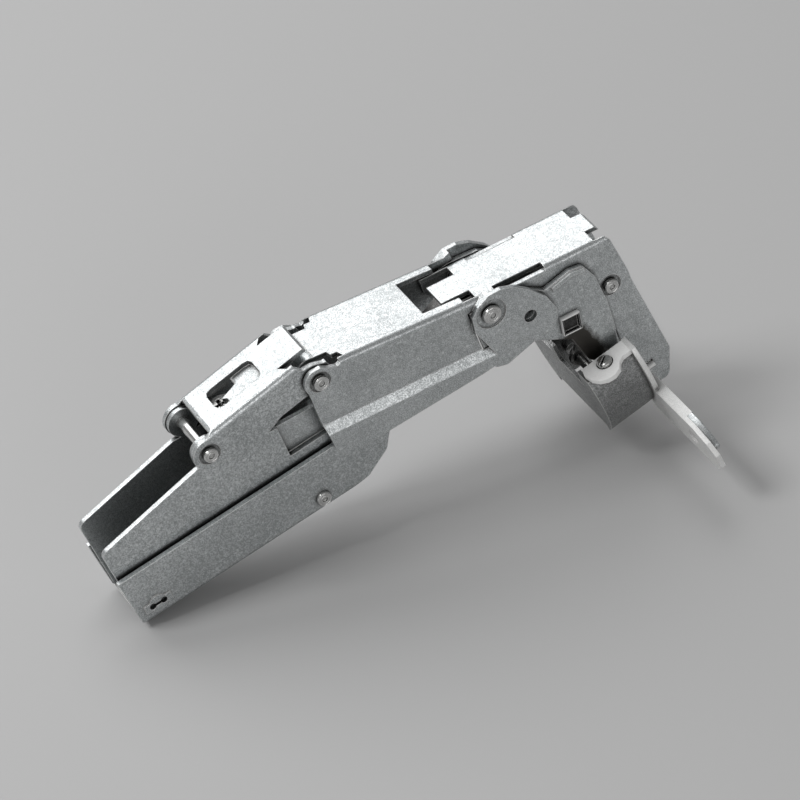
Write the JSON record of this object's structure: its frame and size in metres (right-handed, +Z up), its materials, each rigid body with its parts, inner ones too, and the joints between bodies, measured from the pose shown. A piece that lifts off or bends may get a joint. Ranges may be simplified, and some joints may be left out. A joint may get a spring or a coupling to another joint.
{
  "type": "concealed cabinet hinge",
  "caption": "Cranked wide-angle concealed cabinet hinge of plated pressed steel, with nested arm, folding links, cup and flange.",
  "frame": {"origin": "middle of the arm's fixing hole, on the underside of the arm that lies on the mounting plate", "axes": "+X along the arm from its tail to the cup, +Y along the pivots, +Z up from the mounting plate"},
  "size_m": [0.1423, 0.0872, 0.0705],
  "materials": {
    "plated_steel": "bright nickel plate over pressed steel, fine satin grain",
    "pin_steel": "plated rivet steel, polished heads",
    "screw_steel": "plated screw steel",
    "cast_zinc": null
  },
  "bodies": {
    "arm": {"arm_outer_channel": "plated_steel", "arm_inner_channel": "plated_steel", "tail_axle": "pin_steel", "heel_axle": "pin_steel"},
    "side_screw": {"side_adjust_screw": "screw_steel"},
    "depth_screw": {"depth_cam_screw": "screw_steel"},
    "short_link": {"small_link": "plated_steel"},
    "middle": {"middle_link": "plated_steel", "elbow_rivet_near": "pin_steel", "elbow_rivet_far": "pin_steel", "cup_lever": "plated_steel"},
    "front": {"front_link": "plated_steel", "inner_lever": "plated_steel", "cross_axle": "pin_steel", "nose_axle": "pin_steel", "lever_rivet": "pin_steel", "heel_bush": "pin_steel"},
    "hanger": {"cup_link": "plated_steel", "toe_pin": "pin_steel"},
    "cup": {"cup_housing": "cast_zinc", "cup_flange": "plated_steel", "cup_ear_near": "cast_zinc", "cup_ear_far": "cast_zinc", "cup_screw_near": "screw_steel", "cup_screw_far": "screw_steel", "door_pin_near": "pin_steel", "door_pin_far": "pin_steel", "toe_pin_near": "pin_steel", "toe_pin_far": "pin_steel"}
  },
  "joints": [
    {"name": "hinge_swing", "type": "hinge", "parent": "arm", "child": "front", "pos_m": [0.0389, 0, 0.0035], "axis": [0, -1, 0], "range_deg": [0, 41.96]},
    {"name": "middle_swing", "type": "hinge", "parent": "front", "child": "middle", "pos_m": [0.0921, 0, 0.0255], "axis": [0, 1, 0], "range_deg": [0, 39.3]},
    {"name": "cup_swing", "type": "hinge", "parent": "middle", "child": "cup", "pos_m": [0.1145, 0, -0.007], "axis": [0, -1, 0], "range_deg": [0, 172.5]},
    {"name": "short_link_swing", "type": "hinge", "parent": "arm", "child": "short_link", "pos_m": [0.02, 0, 0.0335], "axis": [0, -1, 0], "range_deg": [0, 85.2]},
    {"name": "hanger_swing", "type": "hinge", "parent": "front", "child": "hanger", "pos_m": [0.1218, 0, 0.01], "axis": [0, 1, 0], "range_deg": [0, 34.6]},
    {"name": "side_screw_turn", "type": "hinge", "parent": "arm", "child": "side_screw", "pos_m": [0.0286, 0, 0.03], "axis": [0, 0, 1], "continuous": true},
    {"name": "depth_screw_turn", "type": "hinge", "parent": "arm", "child": "depth_screw", "pos_m": [0.014, 0, 0.003], "axis": [0, 0, 1], "range_deg": [-90, 90]}
  ],
  "couplings": [
    {"joint": "middle_swing", "follows": "hinge_swing", "ratio": 0.9363},
    {"joint": "cup_swing", "follows": "hinge_swing", "ratio": 4.1089},
    {"joint": "short_link_swing", "follows": "hinge_swing", "ratio": 2.0277},
    {"joint": "hanger_swing", "follows": "hinge_swing", "ratio": 0.8239}
  ]
}
